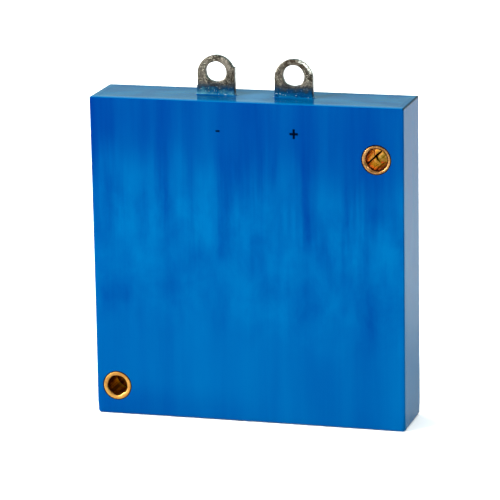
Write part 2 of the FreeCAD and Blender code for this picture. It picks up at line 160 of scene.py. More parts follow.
# Printed marks.
PLUS_ARM = 0.25 * MM
INK_STEPS = 10
INK_SUNK, INK_DEEPER, INK_SOFT = 0.004 * MM, 0.02 * MM, 0.02 * MM


# ---------------------------------------- mesh helpers


def add_object(name, data):
    """A new object in the scene that shows a mesh, or holds a lamp or a camera."""
    obj = bpy.data.objects.new(name, data)
    bpy.context.scene.collection.objects.link(obj)
    return obj


def mesh_from(name, points, faces):
    """A mesh with its faces turned outwards."""
    mesh = bpy.data.meshes.new(name)
    mesh.from_pydata([tuple(p) for p in points], [], faces)
    work = bmesh.new()
    work.from_mesh(mesh)
    bmesh.ops.recalc_face_normals(work, faces=work.faces)
    work.to_mesh(mesh)
    work.free()
    return mesh


def apply_modifiers(obj):
    """Makes what the modifiers show into the object's own mesh."""
    graph = bpy.context.evaluated_depsgraph_get()
    shaped = bpy.data.meshes.new_from_object(obj.evaluated_get(graph))
    obj.modifiers.clear()
    obj.data = shaped


def cut(obj, cutters):
    """Takes the cutters' volumes out of an object, and removes the cutters."""
    for cutter in cutters:
        modifier = obj.modifiers.new("cut", "BOOLEAN")
        modifier.operation = "DIFFERENCE"
        modifier.solver = "EXACT"
        modifier.object = cutter
    apply_modifiers(obj)
    for cutter in cutters:
        bpy.data.objects.remove(cutter)


def dress(obj, material, slot, *nodes, sharp=40):
    """Shades a finished piece, puts it on the body and hides the CAD nodes that it stands for."""
    obj.data.materials.clear()
    obj.data.materials.append(material)
    obj.data.shade_smooth()
    obj.data.set_sharp_from_angle(angle=math.radians(sharp))
    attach(obj, ROOT)
    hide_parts(*nodes)


def wobble(point, scale, seed):
    """Smooth noise from -1 to 1. scale is in features per millimetre along X, Y and Z."""
    x, y, z = (point[i] / MM * scale[i] for i in range(3))
    return noise.noise(Vector((x + seed, y - seed, z + 2 * seed)))


def clamp(value, low, high):
    """A value, held between two limits."""
    return min(max(value, low), high)


def smoothstep(value, low, high):
    """Eases from 0 at low to 1 at high."""
    share = clamp((value - low) / (high - low), 0.0, 1.0)
    return share * share * (3 - 2 * share)


def closed_pairs(items):
    """Each item with the next one, and the last with the first."""
    return zip(items, items[1:] + items[:1])


def ring_of(columns, col0, col1, row0, row1):
    """The border of a block of a grid whose points are numbered row by row, anticlockwise."""
    ring = [row0 * columns + i for i in range(col0, col1)]
    ring += [j * columns + col1 for j in range(row0, row1)]
    ring += [row1 * columns + i for i in range(col1, col0, -1)]
    return ring + [j * columns + col0 for j in range(row1, row0, -1)]


def nearest(lines, value):
    """Which grid line is nearest to a value."""
    return min(range(len(lines)), key=lambda i: abs(lines[i] - value))


def swept_faces(rings, size):
    """The faces of a solid swept through rings of points, with a cap on each end."""
    faces = []
    for ring in range(rings - 1):
        for i in range(size):
            a, b = ring * size + i, ring * size + (i + 1) % size
            faces.append((a, b, b + size, a + size))
    last = (rings - 1) * size
    return faces + [tuple(range(size)), tuple(range(last, last + size))]


def slab_faces(xs, ys, patches_x=(), patch_y=(0, 0)):
    """The faces of a slab between two like grids: both skins, without any patches, and the walls."""
    columns, rows = len(xs), len(ys)
    skin = columns * rows
    faces = []
    for j in range(rows - 1):
        for i in range(columns - 1):
            x, y = (xs[i] + xs[i + 1]) / 2, (ys[j] + ys[j + 1]) / 2
            if patch_y[0] < y < patch_y[1] and any(a < x < b for a, b in patches_x):
                continue
            a = j * columns + i
            quad = (a, a + 1, a + 1 + columns, a + columns)
            faces += [quad, tuple(skin + k for k in reversed(quad))]
    for a, b in closed_pairs(ring_of(columns, 0, columns - 1, 0, rows - 1)):
        faces.append((b, a, a + skin, b + skin))
    return faces


def box_cutter(low, high):
    """A plain block, to cut with."""
    xs, ys, zs = zip(low, high)
    points = [(x, y, z) for z in zs for y in ys for x in xs]
    faces = [(0, 1, 3, 2), (4, 5, 7, 6), (0, 1, 5, 4), (2, 3, 7, 6), (0, 2, 6, 4), (1, 3, 7, 5)]
    return add_object("cutter", mesh_from("cutter", points, faces))


def turned_cutter(profile, x, z, sides=96):
    """A turned solid about an axis along Y, to cut with. The profile is (radius, y) pairs."""
    points = []
    for radius, y in profile:
        for i in range(sides):
            angle = 2 * math.pi * i / sides
            points.append((x + radius * math.cos(angle), y, z + radius * math.sin(angle)))
    return add_object("cutter", mesh_from("cutter", points, swept_faces(len(profile), sides)))


# ---------------------------------------- potting box


def stations(low, high, pitch):
    """Coordinates from low to high: close together at both ends, for a bend, and even between."""
    *ends, bend = BEND_OFFSETS
    inner_low, inner_high = low + bend, high - bend
    count = max(1, round((inner_high - inner_low) / pitch))
    middle = [inner_low + (inner_high - inner_low) * i / count for i in range(count + 1)]
    return [low + e for e in ends] + middle + [high - e for e in reversed(ends)]


def rounded(point, low, high):
    """Where a point on the block's plain faces goes once its edges are rounded."""
    height = point.z - low.z
    radius = FOOT_RADIUS + (EDGE_RADIUS - FOOT_RADIUS) * smoothstep(height, *FOOT_BLEND)
    core = Vector(clamp(point[i], low[i] + radius, high[i] - radius) for i in range(3))
    outward = (point - core).normalized()
    spot = core + outward * radius
    ripple = 0.6 * wobble(spot, (0.10, 0.10, 0.03), 3.1) + 0.4 * wobble(spot, (0.33, 0.33, 0.07), 7.7)
    sink = SHELL_WAVE * (0.5 + 0.5 * ripple)
    middle, half = (low + high) / 2, (high - low) / 2
    across, upward = ((spot[i] - middle[i]) / half[i] for i in (0, 2))
    sink += LEFT_SINK * max(0, -outward.x) * (1 - upward * upward)
    sink += UNDER_SINK * max(0, -outward.z) * (1 - across * across)
    return spot - outward * sink


def block_surface(low, high):
    """The closed outside of the block, as a grid that bends over its edges."""
    grids = [stations(low[i], high[i], SHELL_PITCH) for i in range(3)]
    index, points, faces = {}, [], []

    def vertex(key):
        if key not in index:
            index[key] = len(points)
            plain = Vector(grids[i][key[i]] for i in range(3))
            points.append(rounded(plain, low, high))
        return index[key]

    for axis in range(3):
        u, v = (axis + 1) % 3, (axis + 2) % 3
        for level in (0, len(grids[axis]) - 1):
            for i in range(len(grids[u]) - 1):
                for j in range(len(grids[v]) - 1):
                    corners = []
                    for du, dv in ((0, 0), (1, 0), (1, 1), (0, 1)):
                        key = [0, 0, 0]
                        key[axis], key[u], key[v] = level, i + du, j + dv
                        corners.append(vertex(tuple(key)))
                    faces.append(corners)
    return mesh_from("potting_box_shell", points, faces)


def hole_places():
    """Each mounting hole's name, centre and radius, read from its sleeves."""
    places = {}
    for name in SEAMS:
        low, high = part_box(f"{name}_front_sleeve")
        centre = (low + high) / 2
        places[name] = (centre.x, centre.z, (high.z - low.z) / 2)
    return places


def coat_rim(shell, resin, top):
    """Gives the resin's skin, which runs out over the rim, to the faces that look up from it."""
    shell.data.materials.append(resin)
    for face in shell.data.polygons:
        if face.center.z > top - RIM_SKIN and face.normal.z > RIM_LEVEL:
            face.material_index = 1


def make_potting_box(material, resin):
    """The moulded box: a softly uneven outside, an inside for the resin and two through holes."""
    low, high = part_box("potting_box")
    shell = add_object("potting_box_shell", block_surface(low, high))
    inner_low, inner_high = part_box("resin_fill")
    inner_high.z = high.z + ABOVE_RIM
    cutters = [box_cutter(inner_low, inner_high)]
    flare = HOLE_MOUTH + PAST
    for x, z, radius in hole_places().values():
        profile = [
            (radius + flare, low.y - PAST),
            (radius, low.y + HOLE_MOUTH),
            (radius, high.y - HOLE_MOUTH),
            (radius + flare, high.y + PAST),
        ]
        cutters.append(turned_cutter(profile, x, z))
    cut(shell, cutters)
    dress(shell, material, "case", "potting_box")
    coat_rim(shell, resin, high.z)


# ---------------------------------------- resin top


def top_level(x, y, low, high, surface):
    """The height of the resin's skin away from the lugs: a soft ripple, curved up at the walls."""
    wall = min(x - low.x, high.x - x, y - low.y, high.y - y)
    ripple = wobble((x, y, 0), (0.12, 0.18, 1), 11.3) + 0.3 * wobble((x, y, 0), (0.4, 0.5, 1), 5.9)
    calm = smoothstep(wall, 0, TOP_CALM)
    level = surface + BRIM + (FILL_DROP - BRIM) * math.exp(-wall / WALL_CURVE)
    return level - TOP_WAVE * (1 + ripple) / 2 * calm


def spaced(low, high, pitch):
    """Even coordinates from low up to, but not including, high."""
    count = max(1, round((high - low) / pitch))
    return [low + (high - low) * i / count for i in range(count)]


def lines_between(low, high, patches):
    """Grid lines along one axis: fine in each patch, coarse outside, and close at both walls."""
    *ends, bend = BEND_OFFSETS
    lines, at = [low + e for e in ends], low + bend
    for start, stop in patches:
        lines += spaced(at, start, COARSE_PITCH) + spaced(start, stop, FINE_PITCH)
        at = stop
    return lines + spaced(at, high - bend, COARSE_PITCH) + [high - e for e in reversed(BEND_OFFSETS)]


def collar_rings(point, lug_low, lug_high, low, high, surface, seed):
    """One line of points from the flat resin up a lug's film, then down inside the slot."""
    x0, x1 = lug_low.x + CORNER_ROUND, lug_high.x - CORNER_ROUND
    y0, y1 = lug_low.y + CORNER_ROUND, lug_high.y - CORNER_ROUND
    base = Vector((clamp(point.x, x0, x1), clamp(point.y, y0, y1), 0))
    outward = (Vector((point.x, point.y, 0)) - base).normalized()

    def spot(distance, z):
        flat = base + outward * (CORNER_ROUND + distance)
        return Vector((flat.x, flat.y, z))

    line = []
    for step in RISE_STEPS:
        distance = step * MM
        flat = spot(distance, 0)
        level = top_level(flat.x, flat.y, low, high, surface)
        lumps = 1 + 0.12 * wobble(flat, (0.7, 0.7, 1), seed + 1.7)
        line.append(spot(distance, level + RISE * lumps * math.exp(-distance / RISE_SPREAD)))
    edge = base + outward * CORNER_ROUND
    drift = wobble(edge, (0.45, 0.9, 1), seed) + 0.5 * wobble(edge, (1.6, 2.0, 1), seed + 4.2)
    film_top = surface + CLIMB + CLIMB_VARIES * clamp(drift, -1, 1)
    foot = line[-1].z
    for ring in range(1, CLIMB_RINGS + 1):
        share = ring / CLIMB_RINGS
        z = foot + (film_top - foot) * share
        body = FILM * (1 - share) + FILM_MIN
        lumps = FILM_VARIES * max(0, wobble((edge.x, edge.y, z), (1.3, 1.3, 1.6), seed + 9.1))
        line.append(spot(body + lumps * (1 - share * share), z))
    line.append(spot(-FILM_ROOT, film_top + FILM_LIP))
    line.append(spot(-FILM_ROOT, low.z))
    return line


def coat_film(cap, film, level):
    """Gives the thin film to the faces above a level."""
    cap.data.materials.append(film)
    for face in cap.data.polygons:
        if face.center.z > level:
            face.material_index = 1


def collar_faces(chains):
    """The faces between lines of points that stand side by side round a lug."""
    return [
        (one[k], two[k], two[k + 1], one[k + 1])
        for one, two in closed_pairs(chains)
        for k in range(len(one) - 1)
    ]


def make_resin_top(material, film):
    """The last pour: glossy, a little uneven, curved up at the walls and drawn up both lugs."""
    low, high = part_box("resin_cap")
    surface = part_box("potting_box")[1].z - FILL_DROP
    lugs = [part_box("negative_lug"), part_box("positive_lug")]
    patch_y = (lugs[0][0].y - PATCH, lugs[0][1].y + PATCH)
    patches_x = [(a.x - PATCH, b.x + PATCH) for a, b in lugs]
    xs = lines_between(low.x, high.x, patches_x)
    ys = lines_between(low.y, high.y, [patch_y])
    points = [Vector((x, y, top_level(x, y, low, high, surface))) for y in ys for x in xs]
    below = len(points)
    points += [Vector((x, y, low.z)) for y in ys for x in xs]
    faces = slab_faces(xs, ys, patches_x, patch_y)
    row0, row1 = (nearest(ys, y) for y in patch_y)
    for (lug_low, lug_high), patch_x, seed in zip(lugs, patches_x, COLLAR_SEEDS):
        col0, col1 = (nearest(xs, x) for x in patch_x)
        chains = []
        for top in ring_of(len(xs), col0, col1, row0, row1):
            line = collar_rings(points[top], lug_low, lug_high, low, high, surface, seed)
            first = len(points)
            points += line
            chains.append([top] + list(range(first, len(points))) + [below + top])
        faces += collar_faces(chains)
    cap = add_object("resin_top", mesh_from("resin_top", points, faces))
    dress(cap, material, "resin", "resin_cap", sharp=60)
    coat_film(cap, film, surface + FILL_DROP + FILM_FROM)


# ---------------------------------------- lugs


def arc_points(x, z, radius, start, stop, steps):
    """Points along an arc in the XZ plane, with angles from +X towards +Z."""
    turn = (stop - start) / steps
    return [
        (x + radius * math.cos(start + turn * i), z + radius * math.sin(start + turn * i))
        for i in range(steps + 1)
    ]


def lug_outline(left, right, low, high, ear):
    """A lug's outline: straight sides and a round head, with a burr left on one shoulder."""
    half = (right - left) / 2
    x, z = (left + right) / 2, high.z - half
    ear_angle = math.asin(ear / half) if ear else 0
    outline = [(left, low.z), (right, low.z)]
    if ear:
        outline += [(right, z + ear), (right - EAR_WIDTH, z + ear + EAR_SLOPE)]
    head = arc_points(x, z, half, ear_angle, math.pi, HEAD_STEPS)
    if ear:
        head = [(px - HEAD_NARROWS * smoothstep(px, x, right), pz) for px, pz in head]
    return outline + head


def hole_outline(x, z, radius, seed):
    """A hole's outline, with solder run into it here and there and pooled at the bottom."""
    points = []
    for px, pz in arc_points(x, z, radius, 0, 2 * math.pi, HOLE_STEPS)[:-1]:
        run = HOLE_RUN * max(0, wobble((px, 0, pz), (0.9, 1, 0.9), seed))
        run += HOLE_RUN * smoothstep((z - pz) / radius, 0.72, 0.98)
        share = (radius - run) / radius
        points.append((x + (px - x) * share, z + (pz - z) * share))
    return points


def plate(name, outlines, y0, y1):
    """A flat plate with holes: the first outline is its edge, and the others are its holes."""
    work = bmesh.new()
    for outline in outlines:
        ring = [work.verts.new((x, y0, z)) for x, z in outline]
        for a, b in closed_pairs(ring):
            work.edges.new((a, b))
    bmesh.ops.triangle_fill(work, use_beauty=True, edges=work.edges[:])
    grown = bmesh.ops.extrude_face_region(work, geom=work.faces[:])
    moved = [item for item in grown["geom"] if isinstance(item, bmesh.types.BMVert)]
    bmesh.ops.translate(work, verts=moved, vec=(0, y1 - y0, 0))
    bmesh.ops.recalc_face_normals(work, faces=work.faces)
    mesh = bpy.data.meshes.new(name)
    work.to_mesh(mesh)
    work.free()
    return add_object(name, mesh)


def lug_sides(node, shape):
    """The left and right edges of a lug, which tin has widened unevenly."""
    low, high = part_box(node)
    return low.x - shape[0] * MM, high.x + shape[1] * MM


def head_circle(node, shape):
    """The middle of a lug's round head, and its radius."""
    left, right = lug_sides(node, shape)
    half = (right - left) / 2
    return (left + right) / 2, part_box(node)[1].z - half, half


def scraped(spot, x, z, half):
    """How deep a scrape has cut the front edge of a lug's head, up and to the right of its centre."""
    out_x, out_z = spot.x - x, spot.z - z
    angle = math.atan2(out_z, out_x)
    along = smoothstep(angle, *SCRAPE_STARTS) * smoothstep(angle, *SCRAPE_ENDS)
    return along * max(0, math.hypot(out_x, out_z) - (half - BEVEL)) * SCRAPE_CUTS


def make_lug(name, node, shape, seed, material):
    """A hot-tinned lug: soft edges, and tin lying in lumps and runs over the metal."""
    hole_radius, ear, scrape = shape[2:]
    low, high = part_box(node)
    left, right = lug_sides(node, shape)
    middle = (left + right) / 2
    outlines = [lug_outline(left, right, low, high, ear * MM)]
    outlines.append(hole_outline(middle, high.z - LUG_HOLE_DROP, hole_radius * MM, seed))
    rivets_low, rivets_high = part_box(node.replace("lug", "rivets"))
    for z in (rivets_low.z + RIVET_HEAD_R, rivets_high.z - RIVET_HEAD_R):
        outlines.append(arc_points(middle, z, RIVET_HOLE_R, 0, 2 * math.pi, RIVET_STEPS)[:-1])
    lug = plate(name, outlines, low.y, high.y)
    remesh = lug.modifiers.new("remesh", "REMESH")
    remesh.mode = "VOXEL"
    remesh.voxel_size = LUG_VOXEL
    soften = lug.modifiers.new("soften", "SMOOTH")
    soften.factor = 0.5
    soften.iterations = 4
    apply_modifiers(lug)
    head, moves = head_circle(node, shape), []
    for vertex in lug.data.vertices:
        spot = vertex.co
        lumps = wobble(spot, (0.55, 0.55, 0.4), seed + 1) + 0.5 * wobble(spot, (1.5, 1.5, 1.2), seed + 2)
        grain = 0.3 * wobble(spot, (4.0, 4.0, 4.0), seed + 3)
        move = vertex.normal * -TIN_RELIEF * clamp(0.3 + 0.7 * (lumps + grain), 0, 1)
        if scrape and spot.y < 0:
            move.y += scraped(spot, *head)
        moves.append(move)
    for vertex, move in zip(lug.data.vertices, moves):
        vertex.co += move
    dress(lug, material, "tinned_lug", node, sharp=80)


# ---------------------------------------- sleeves


def sleeve_section(mouth, radius, y_face, y_joint, out):
    """The wall's section, as (radius, y) pairs: the mouth, then the bore, then the joint's end."""
    inner, soft = radius - SLEEVE_WALL, SLEEVE_SOFT
    section = [(radius - inset * MM, y_face + out * depth * MM) for inset, depth in mouth]
    last = section[-1][1]
    section += [(inner, last + (y_joint - last) * share) for share in (0.25, 0.5, 0.75)]
    section += [(inner, y_joint - out * soft), (inner + soft, y_joint)]
    return section + [(radius - soft, y_joint), (radius, y_joint - out * soft)]


def make_sleeve(hole, end, material):
    """A rolled brass sleeve with an open seam, not quite round, like hand-closed tube."""
    node = f"{hole}_{end}_sleeve"
    low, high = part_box(node)
    x, z, radius = hole_places()[hole]
    angle, front_seam, rear_seam = SEAMS[hole]
    at_front = end == "front"
    y_face, y_joint, out = (low.y, high.y, 1) if at_front else (high.y, low.y, -1)
    gap = (front_seam if at_front else rear_seam) / (radius - SLEEVE_WALL)
    mouth = MOUTHS[hole if at_front else "rear"]
    points = []
    for turn in range(SLEEVE_TURNS + 1):
        swing = gap / 2 + (2 * math.pi - gap) * turn / SLEEVE_TURNS
        theta = angle + swing
        askew = 0 if at_front else SKEW[hole] * math.exp(-((swing / SKEW_ANGLE) ** 2))
        ripple = (0.035 * (1 + math.sin(5 * theta + 0.6)) + 0.02 * math.sin(11 * theta)) * MM
        nearness = min(swing, 2 * math.pi - swing)
        pinch = PINCH * math.exp(-((nearness / PINCH_ANGLE) ** 2))
        for r, y in sleeve_section(mouth, radius, y_face, y_joint - out * askew, out):
            inward = clamp((radius - r) / SLEEVE_WALL, 0, 1) ** 2
            reach = r - (ripple + pinch) * inward
            closing = smoothstep(abs(y - y_face), *SEAM_CLOSES)
            turned = theta - math.copysign(gap / 2 * closing, math.pi - swing) * (nearness < SEAM_ANGLE)
            points.append((x + reach * math.cos(turned), y, z + reach * math.sin(turned)))
    rings = SLEEVE_TURNS + 1
    faces = swept_faces(rings, len(points) // rings)
    sleeve = add_object(node + "_rolled", mesh_from(node, points, faces))
    dress(sleeve, material, "sleeve_brass", node, sharp=50)


# ---------------------------------------- foam pads


def make_foam_pad(node, material):
    """A flat pad of foam, squeezed between the pouch and the box, with bulging edges."""
    low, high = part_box(node)
    half_t, mid_y = (high.y - low.y) / 2, (high.y + low.y) / 2
    round_in = [half_t * share for share in PAD_EDGE]
    columns, rows = (
        [start + step for step in round_in]
        + spaced(start + half_t, end - half_t, PAD_PITCH)
        + [end - half_t]
        + [end - step for step in reversed(round_in)]
        for start, end in ((low.x, high.x), (low.z, high.z))
    )
    points = []
    for side in (-1, 1):
        for z in rows:
            for x in columns:
                edge = min(x - low.x, high.x - x, z - low.z, high.z - z)
                bulge = math.sqrt(1 - (1 - clamp(edge / half_t, 0, 1)) ** 2)
                dent = PAD_DENT * (1 + wobble((x, side * mid_y, z), (0.12, 1, 0.12), 4.4))
                thick = (0.3 + 0.7 * bulge) * (half_t - dent)
                points.append((x, mid_y + side * thick, z))
    pad = add_object(node + "_squeezed", mesh_from(node, points, slab_faces(columns, rows)))
    dress(pad, material, "foam", node)


# ---------------------------------------- printed marks


def ink_mark(name, node, outline, material):
    """A printed mark: ink with a soft, slightly ragged edge, flush with the front face."""
    low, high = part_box(node)
    centre = (low + high) / 2
    ragged = []
    for (x0, z0), (x1, z1) in closed_pairs(outline):
        for i in range(INK_STEPS):
            share = i / INK_STEPS
            x, z = x0 + (x1 - x0) * share, z0 + (z1 - z0) * share
            pull = 1 - 0.06 * (1 + wobble((x, 0, z), (3.5, 1, 3.5), 2.2)) / 2
            ragged.append((centre.x + (x - centre.x) * pull, centre.z + (z - centre.z) * pull))
    mark = plate(name, [ragged], low.y + INK_SUNK, high.y + INK_DEEPER)
    soften = mark.modifiers.new("soften", "BEVEL")
    soften.width = INK_SOFT
    soften.segments = 2
    soften.angle_limit = math.radians(60)
    apply_modifiers(mark)
    dress(mark, material, "ink", node)


def make_marks(material):
    """The minus and the plus sign under the lugs."""
    low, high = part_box("minus_mark")
    bar = [(low.x, low.z), (high.x, low.z), (high.x, high.z), (low.x, high.z)]
    ink_mark("minus_ink", "minus_mark", bar, material)
    low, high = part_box("plus_mark")
    x, z, arm = (low.x + high.x) / 2, (low.z + high.z) / 2, PLUS_ARM
    cross = [
        (x - arm, low.z), (x + arm, low.z), (x + arm, z - arm), (high.x, z - arm),
        (high.x, z + arm), (x + arm, z + arm), (x + arm, high.z), (x - arm, high.z),
        (x - arm, z + arm), (low.x, z + arm), (low.x, z - arm), (x - arm, z - arm),
    ]
    ink_mark("plus_ink", "plus_mark", cross, material)


# ---------------------------------------- materials


class Shader:
    """A material's node tree, with short names for the nodes that these materials use."""

    def __init__(self, name, metallic=0.0):
        self.material = bpy.data.materials.new(name)
        self.material.use_nodes = True
        self.tree = self.material.node_tree
        self.surface = self.tree.nodes["Principled BSDF"]
        self.surface.inputs["Metallic"].default_value = metallic
        self.place = self.add("ShaderNodeTexCoord").outputs["Object"]

    def add(self, kind, **settings):
        """A new node, with its settings."""
        node = self.tree.nodes.new(kind)
        for key, value in settings.items():
            setattr(node, key, value)
        return node

    def put(self, socket, value):
        """Links a socket to an output, or sets it to a value."""
        if isinstance(value, bpy.types.NodeSocket):
            self.tree.links.new(value, socket)
        else:
            socket.default_value = value

    def fill(self, node, **values):
        """Fills a node's sockets by name, with _ for a space, and skips what is None."""
        for name, value in values.items():
            if value is not None:
                self.put(node.inputs[name.replace("_", " ")], value)

    def coords(self, per_mm, offset=(0, 0, 0)):
        """Object coordinates in features per millimetre along X, Y and Z."""
        node = self.add("ShaderNodeMapping")
        self.fill(node, Vector=self.place, Scale=[s / MM for s in per_mm], Location=offset)
        return node.outputs["Vector"]

    def noise(self, per_mm, detail=2.0, rough=0.5, warp=0.0, offset=(0, 0, 0)):
        """Cloudy noise round 0.5."""
        node = self.add("ShaderNodeTexNoise")
        self.fill(node, Vector=self.coords(per_mm, offset), Scale=1.0)
        self.fill(node, Detail=detail, Roughness=rough, Distortion=warp)
        return node.outputs["Fac"]

    def cells(self, per_mm):
        """The distance from the nearest cell's middle."""
        node = self.add("ShaderNodeTexVoronoi")
        self.fill(node, Vector=self.coords(per_mm), Scale=1.0)
        return node.outputs["Distance"]

    def math(self, operation, a, b=0.0, c=0.0, limit=False):
        node = self.add("ShaderNodeMath", operation=operation, use_clamp=limit)
        for socket, value in zip(node.inputs, (a, b, c)):
            self.put(socket, value)
        return node.outputs[0]

    def times(self, a, b):
        return self.math("MULTIPLY", a, b)

    def remap(self, value, low, high, to_low=0.0, to_high=1.0):
        """Eases a value from one range to another, and holds it at the ends."""
        node = self.add("ShaderNodeMapRange", interpolation_type="SMOOTHSTEP")
        self.fill(node, Value=value, From_Min=low, From_Max=high, To_Min=to_low, To_Max=to_high)
        return node.outputs[0]

    def axis(self, name):
        """One object coordinate, in millimetres."""
        node = self.add("ShaderNodeSeparateXYZ")
        self.put(node.inputs[0], self.coords((1, 1, 1)))
        return node.outputs[name]

    def from_axis(self, x, z):
        """The distance in millimetres from an axis along Y, which is placed in metres."""
        node = self.add("ShaderNodeVectorMath", operation="DISTANCE")
        self.put(node.inputs[0], self.coords((1, 0, 1)))
        node.inputs[1].default_value = (x / MM, 0, z / MM)
        return node.outputs["Value"]

    def mix(self, share, first, second):
        """A colour between two others."""
        node = self.add("ShaderNodeMix", data_type="RGBA")
        self.put(node.inputs["Factor"], share)
        colours = [socket for socket in node.inputs if socket.type == "RGBA"]
        for socket, value in zip(colours, (first, second)):
            self.put(socket, value if isinstance(value, bpy.types.NodeSocket) else (*value, 1.0))
        return [socket for socket in node.outputs if socket.type == "RGBA"][0]

    def bump(self, height, depth_mm, after=None):
        """A relief, on top of another one if that is given."""
        node = self.add("ShaderNodeBump")
        self.fill(node, Height=height, Distance=depth_mm * MM, Normal=after)
        return node.outputs["Normal"]

    def finish(self, colour, roughness, normal=None, metallic=None):
        """Fills in the surface."""
        self.fill(self.surface, Base_Color=colour, Roughness=roughness, Normal=normal, Metallic=metallic)
        return self.material


CASE_DEEP, CASE_LIGHT = (0.0, 0.0080, 0.086), (0.0, 0.0530, 0.152)
# The colours on the next line are a painted sheen: a lighter, greener copy of the blue for the faces that
# look sideways.
SIDE_SHEEN_DEEP, SIDE_SHEEN_LIGHT = (0.0, 0.042, 0.130), (0.0, 0.068, 0.155)
# The first colour on the next line darkens a thin line along the top's right and rear edges.
# The second colour on the next line is painted shade for the rims of the holes.
TOP_EDGE_DARK, HOLE_RIM_SHADE = (0.0, 0.014, 0.040), (0.008, 0.004, 0.001)
CASE_IOR, CASE_TINT = 1.09, (0.0, 0.45, 1.0, 1.0)


def gloss(shader, ior, tint):
    """A glossy dielectric skin whose face-on shine takes the colour under it."""
    shader.surface.inputs["IOR"].default_value = ior
    shader.surface.inputs["Specular Tint"].default_value = tint


def curtain(shader, height, foot, reach, spread, offset):
    """From 0 to 1: a curtain of colour whose ragged lower edge hangs down in tongues."""
    strands = shader.noise((0.16, 0.16, 0.0), detail=3, rough=0.55, offset=(offset, 0, 0))
    edge = shader.math("MULTIPLY_ADD", strands, -2 * reach, foot + reach)
    above = shader.math("SUBTRACT", height, edge)
    return shader.remap(above, -spread / 2, spread)


def dark_top_edge(shader):
    """From 0 to 1: a thin dark line along the right and rear edges of the top."""
    right = shader.remap(shader.axis("X"), RIGHT_MM - 0.4, RIGHT_MM - 0.2)
    rear = shader.times(shader.remap(shader.axis("Y"), REAR_MM - 0.5, REAR_MM - 0.2), 0.6)
    high = shader.remap(shader.axis("Z"), TOP_MM - 0.5, TOP_MM - 0.25)
    return shader.times(high, shader.math("MAXIMUM", right, rear))


def case_material(holes):
    """Streaky blue plastic: columns and tongues above, soft blotches lower down. Heights are in mm."""
    s = Shader("case_blue")
    gloss(s, CASE_IOR, CASE_TINT)
    height = s.math("MULTIPLY_ADD", s.axis("X"), 0.07, s.axis("Z"))
    columns = s.noise((0.19, 0.19, 0.012), detail=4, rough=0.55, warp=0.25, offset=(3.0, 0, 0.4))
    blobs = s.noise((0.17, 0.17, 0.10), detail=5, rough=0.6, warp=0.25, offset=(9.0, 0, 2.0))
    broad = s.noise((0.06, 0.06, 0.03), detail=2, offset=(4.0, 0, 1.5))
    hairs = s.noise((2.0, 2.0, 0.08), detail=3, rough=0.6)
    middle = s.times(s.remap(height, 12, 26), s.remap(height, 56, 42))
    dark = curtain(s, height, 51, 14, 5.0, 2.0)
    light = s.times(curtain(s, height, 36, 19, 6.0, 17.0), s.remap(height, 62, 45))
    light = s.times(light, s.remap(columns, 0.40, 0.56))
    # Painted contact shade: the blue darkens near the foot, more so towards the left.
    foot_shade = s.times(s.remap(height, 7, 1), s.remap(s.axis("X"), 8, -12))
    column_gain = s.remap(height, 20, 42, 0.65, 0.90)
    tone = s.times(middle, s.math("MULTIPLY_ADD", blobs, 1.2, -0.6))
    tone = s.math("ADD", tone, s.times(column_gain, s.math("SUBTRACT", columns, 0.5)))
    parts = ((broad, 0.45, 0.5), (hairs, 0.12, 0.5), (dark, -0.14, 0), (light, 0.24, 0), (foot_shade, -0.16, 0))
    for part, gain, centre in parts:
        tone = s.math("ADD", tone, s.math("MULTIPLY_ADD", part, gain, -gain * centre))
    # Painted shade and bounce light: the front is darker towards the top and lighter lower down, as light
    # bounced up off the floor would make it.
    level = s.remap(height, 48.0, 34.0, 0.45, 0.69)
    share = s.math("ADD", level, tone, limit=True)
    colour = s.mix(share, CASE_DEEP, CASE_LIGHT)
    # Painted sheen: faces that look along X take the lighter, greener side colours instead of the front's
    # blue.
    sideways = s.add("ShaderNodeSeparateXYZ")
    s.put(sideways.inputs[0], s.add("ShaderNodeTexCoord").outputs["Normal"])
    side_sheen = s.remap(s.math("ABSOLUTE", sideways.outputs["X"]), 0.6, 0.95)
    colour = s.mix(side_sheen, colour, s.mix(share, SIDE_SHEEN_DEEP, SIDE_SHEEN_LIGHT))
    # Painted shade: a dark ring round the mouth of each hole, where the box meets the sleeve.
    for x, z, radius in holes:
        mouth = s.remap(s.from_axis(x, z), radius / MM + 0.04, radius / MM + 0.16, 1.0, 0.0)
        colour = s.mix(mouth, colour, HOLE_RIM_SHADE)
    colour = s.mix(dark_top_edge(s), colour, TOP_EDGE_DARK)
    rough = s.remap(columns, 0.3, 0.7, 0.12, 0.24)
    normal = s.bump(s.noise((0.5, 0.5, 0.05), detail=3), 0.03)
    return s.finish(colour, rough, s.bump(hairs, 0.008, normal))


def resin_material():
    """The poured resin: smooth, glossy and a little cloudy."""
    s = Shader("resin_blue")
    gloss(s, CASE_IOR, CASE_TINT)
    cloud = s.noise((0.15, 0.25, 0.15), detail=3)
    colour = s.mix(s.remap(cloud, 0.35, 0.65), (0.0, 0.030, 0.106), (0.0, 0.048, 0.126))
    # Painted reflection: a lighter patch in the middle of the top, between the lugs.
    middle_sheen = s.times(s.remap(s.math("ABSOLUTE", s.axis("X")), 5.5, 0.5), s.remap(cloud, 0.25, 0.5))
    colour = s.mix(middle_sheen, colour, (0.010, 0.064, 0.158))
    # Painted highlight: a lighter strip along the front edge of the top, over the rim.
    front_edge_highlight = s.times(s.remap(s.axis("Y"), FRONT_MM + 1.9, FRONT_MM + 1.1), 0.9)
    colour = s.mix(front_edge_highlight, colour, (0.0, 0.070, 0.185))
    colour = s.mix(dark_top_edge(s), colour, TOP_EDGE_DARK)
    rough = s.remap(s.noise((0.4, 0.4, 0.4), 2), 0.3, 0.7, 0.06, 0.14)
    return s.finish(colour, rough, s.bump(s.noise((1.4, 1.4, 1.4), 3), 0.01))


